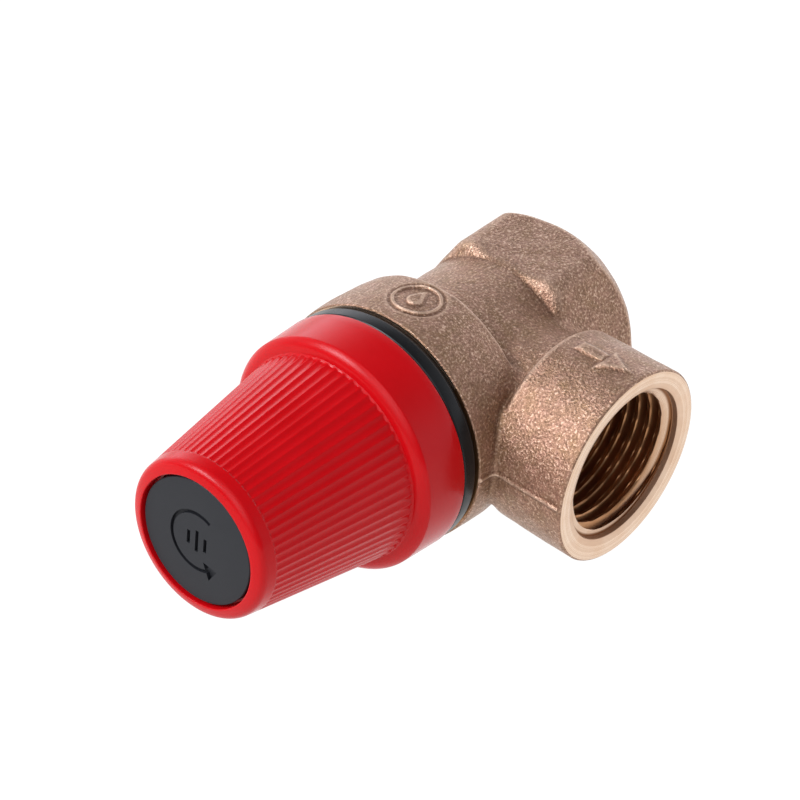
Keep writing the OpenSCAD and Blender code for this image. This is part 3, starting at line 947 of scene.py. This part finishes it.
# --------------------------------------------------------------------------
# Bonnet, its ring and the inner pieces
# --------------------------------------------------------------------------
BONNET = [  # radius, station[, corner radius]
    (12.1, 30.8), (14.05, 30.8), (14.05, 35.84, 0.05), (14.35, 35.84, 0.05),
    (14.35, 36.36, 0.05), (15.96, 36.36, 0.2), (16.2, 36.62, 0.35), (16.2, 38.3, 0.12),
    (16.06, 38.44, 0.05), (14.5, 38.44, 0.1), (14.5, 40.8, 0.15), (14.2, 41.1, 0.1),
    (10.8, 41.1, 0.4), (10.8, 56), (8.65, 56), (8.65, 45.5), (9.35, 44.8), (9.35, 37.2),
    (12.1, 34.6)]
GASKET = [(14.4, 35.83), (15.5, 35.83, 0.1), (15.7, 35.98, 0.1), (15.7, 36.16, 0.1),
          (15.5, 36.32, 0.1), (14.4, 36.32)]

FINISH = {
    "seat_seal": RUBBER, "diaphragm": RUBBER, "seal_washer": STEEL, "seal_screw": STEEL,
    "disc_holder": BRASS, "diaphragm_plate": BRASS, "diaphragm_nut": BRASS,
    "slip_ring": NYLON, "spindle": BRASS, "lower_spring_seat": STEEL, "spring": WIRE,
    "thrust_washer": STEEL, "adjusting_nut": BRASS, "lift_washer": STEEL,
    "spindle_nut": BRASS, "valve_body": CAST, "knob": RED, "rating_disc": INSERT,
    "bonnet": BLACK, "bonnet_gasket": RUBBER}


def build_bonnet():
    parts = [lathe("bonnet_shell", BONNET, BLACK, seg=192, corner=0.15)]
    for start in range(0, 360, 90):
        parts.append(helical_ramp(BLACK, RAMP_R, 10.6, start, start + 80,
                                  base=55.6, s0=RAMP_S, s1=RAMP_S + RAMP_RISE))
    bonnet = join(parts, "spring_housing")
    smooth(bonnet, 35)
    register(bonnet, "housing", "bonnet")


def build_gasket():
    gasket = lathe("flange_ring", GASKET, RUBBER, seg=160, corner=0.05)
    register(gasket, "housing", "bonnet_gasket")


def finish_pieces():
    for name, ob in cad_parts.items():
        for slot in ob.material_slots:
            slot.material = FINISH[name]


def build_spring():
    """Copy of the spring, attached to the housing with a mesh of its own."""
    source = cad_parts["spring"]
    verts = np.array([source.matrix_world @ v.co for v in source.data.vertices]) * 1000
    faces = [tuple(face.vertices) for face in source.data.polygons]
    coil = new_object("spring_coil", verts, faces, WIRE, 40)
    register(coil, "housing", "spring")
    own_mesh(coil)


# --------------------------------------------------------------------------
# Floor, light, camera
# --------------------------------------------------------------------------
FLOOR_Z, FLOOR_HALF = -16.55, 3000.0
FLOOR_GLOW = 0.97       # floor light on the object; the camera sees 1

SKY_BASE = 0.08
SKY = [  # azimuth from -Y towards +X, elevation (degrees), sharpness, strength
    # low sweep round the far side of the object
    (40, 8, 10, 0.95), (80, 8, 10, 1.70), (120, 8, 10, 1.50), (160, 8, 10, 1.90),
    (200, 8, 10, 0.40),
    # large soft panels on the camera's left and overhead
    (292, 38, 10, 2.25), (288, 65, 10, 1.00), (203, 38, 10, 0.50),
    # key panels, on the camera's left
    (225, 32, 60, 6.60), (225, 44, 60, 3.80), (245, 40, 60, 6.40), (235, 36, 60, 8.00)]


def build_floor():
    m = Material("floor")
    soft = m.noise(scale=0.01, detail=2.0, rough=0.5)
    m.finish(color=m.mix(soft, (0.08, 0.08, 0.08), (0.10, 0.10, 0.10)),
             roughness=0.9, specular=0.0)
    camera_ray = m.node("LightPath").outputs["Is Camera Ray"]
    glow = m.plus(m.times(camera_ray, 1.0 - FLOOR_GLOW), FLOOR_GLOW)
    emission = m.node("Emission", ((1, 1, 1), glow))
    both = m.node("AddShader", (m.shader.outputs[0], emission.outputs[0]))
    put(m.tree, m.output.inputs[0], both.outputs[0])
    corners = [(x * FLOOR_HALF, y * FLOOR_HALF, FLOOR_Z)
               for x, y in ((-1, -1), (1, -1), (1, 1), (-1, 1))]
    new_object("floor", corners, [[0, 1, 2, 3]], m.material)


def build_world():
    """Soft light panels round the object; the camera itself sees plain white."""
    world = bpy.data.worlds.new("studio")
    bpy.context.scene.world = world
    world.use_nodes = True
    tree = world.node_tree
    tree.nodes.clear()

    def math_node(operation, *values):
        return add_node(tree, "Math", values, operation=operation).outputs[0]

    place = add_node(tree, "TexCoord").outputs["Generated"]
    view = add_node(tree, "VectorMath", [place], operation="NORMALIZE").outputs[0]
    total = math_node("ADD", SKY_BASE, 0.0)
    for azimuth, elevation, sharpness, strength in SKY:
        a, e = math.radians(azimuth), math.radians(elevation)
        centre = (math.sin(a) * math.cos(e), -math.cos(a) * math.cos(e), math.sin(e))
        cosine = add_node(tree, "VectorMath", (view, centre),
                          operation="DOT_PRODUCT").outputs["Value"]
        falloff = math_node("MULTIPLY_ADD", cosine, sharpness, -sharpness)
        total = math_node("MULTIPLY_ADD", math_node("EXPONENT", falloff), strength, total)
    light = add_node(tree, "Background", ((0.965, 0.99, 1.07), total))
    plain = add_node(tree, "Background", ((1, 1, 1), 1.0))
    camera_ray = add_node(tree, "LightPath").outputs["Is Camera Ray"]
    mixed = add_node(tree, "MixShader", (camera_ray, light.outputs[0], plain.outputs[0]))
    add_node(tree, "OutputWorld", [mixed.outputs[0]])


def build_camera():
    data = bpy.data.cameras.new("camera")
    data.lens = 164.3607
    data.sensor_width = 36.0
    data.clip_start, data.clip_end = 0.01, 20.0
    camera = bpy.data.objects.new("camera", data)
    scene = bpy.context.scene
    scene.collection.objects.link(camera)
    right = (0.65101, -0.7554, 0.07457)
    up = (0.41732, 0.43824, 0.79611)
    back = (-0.63406, -0.48715, 0.60054)
    place = (-0.3255328, -0.2253955, 0.2796144)     # metres
    camera.matrix_world = Matrix((*zip(right, up, back, place), (0, 0, 0, 1)))
    scene.camera = camera
    scene.view_settings.view_transform = "Standard"
    scene.view_settings.look = "None"


build_body()
build_cap()
build_insert()
build_bonnet()
build_gasket()
finish_pieces()
build_spring()
build_floor()
build_world()
build_camera()
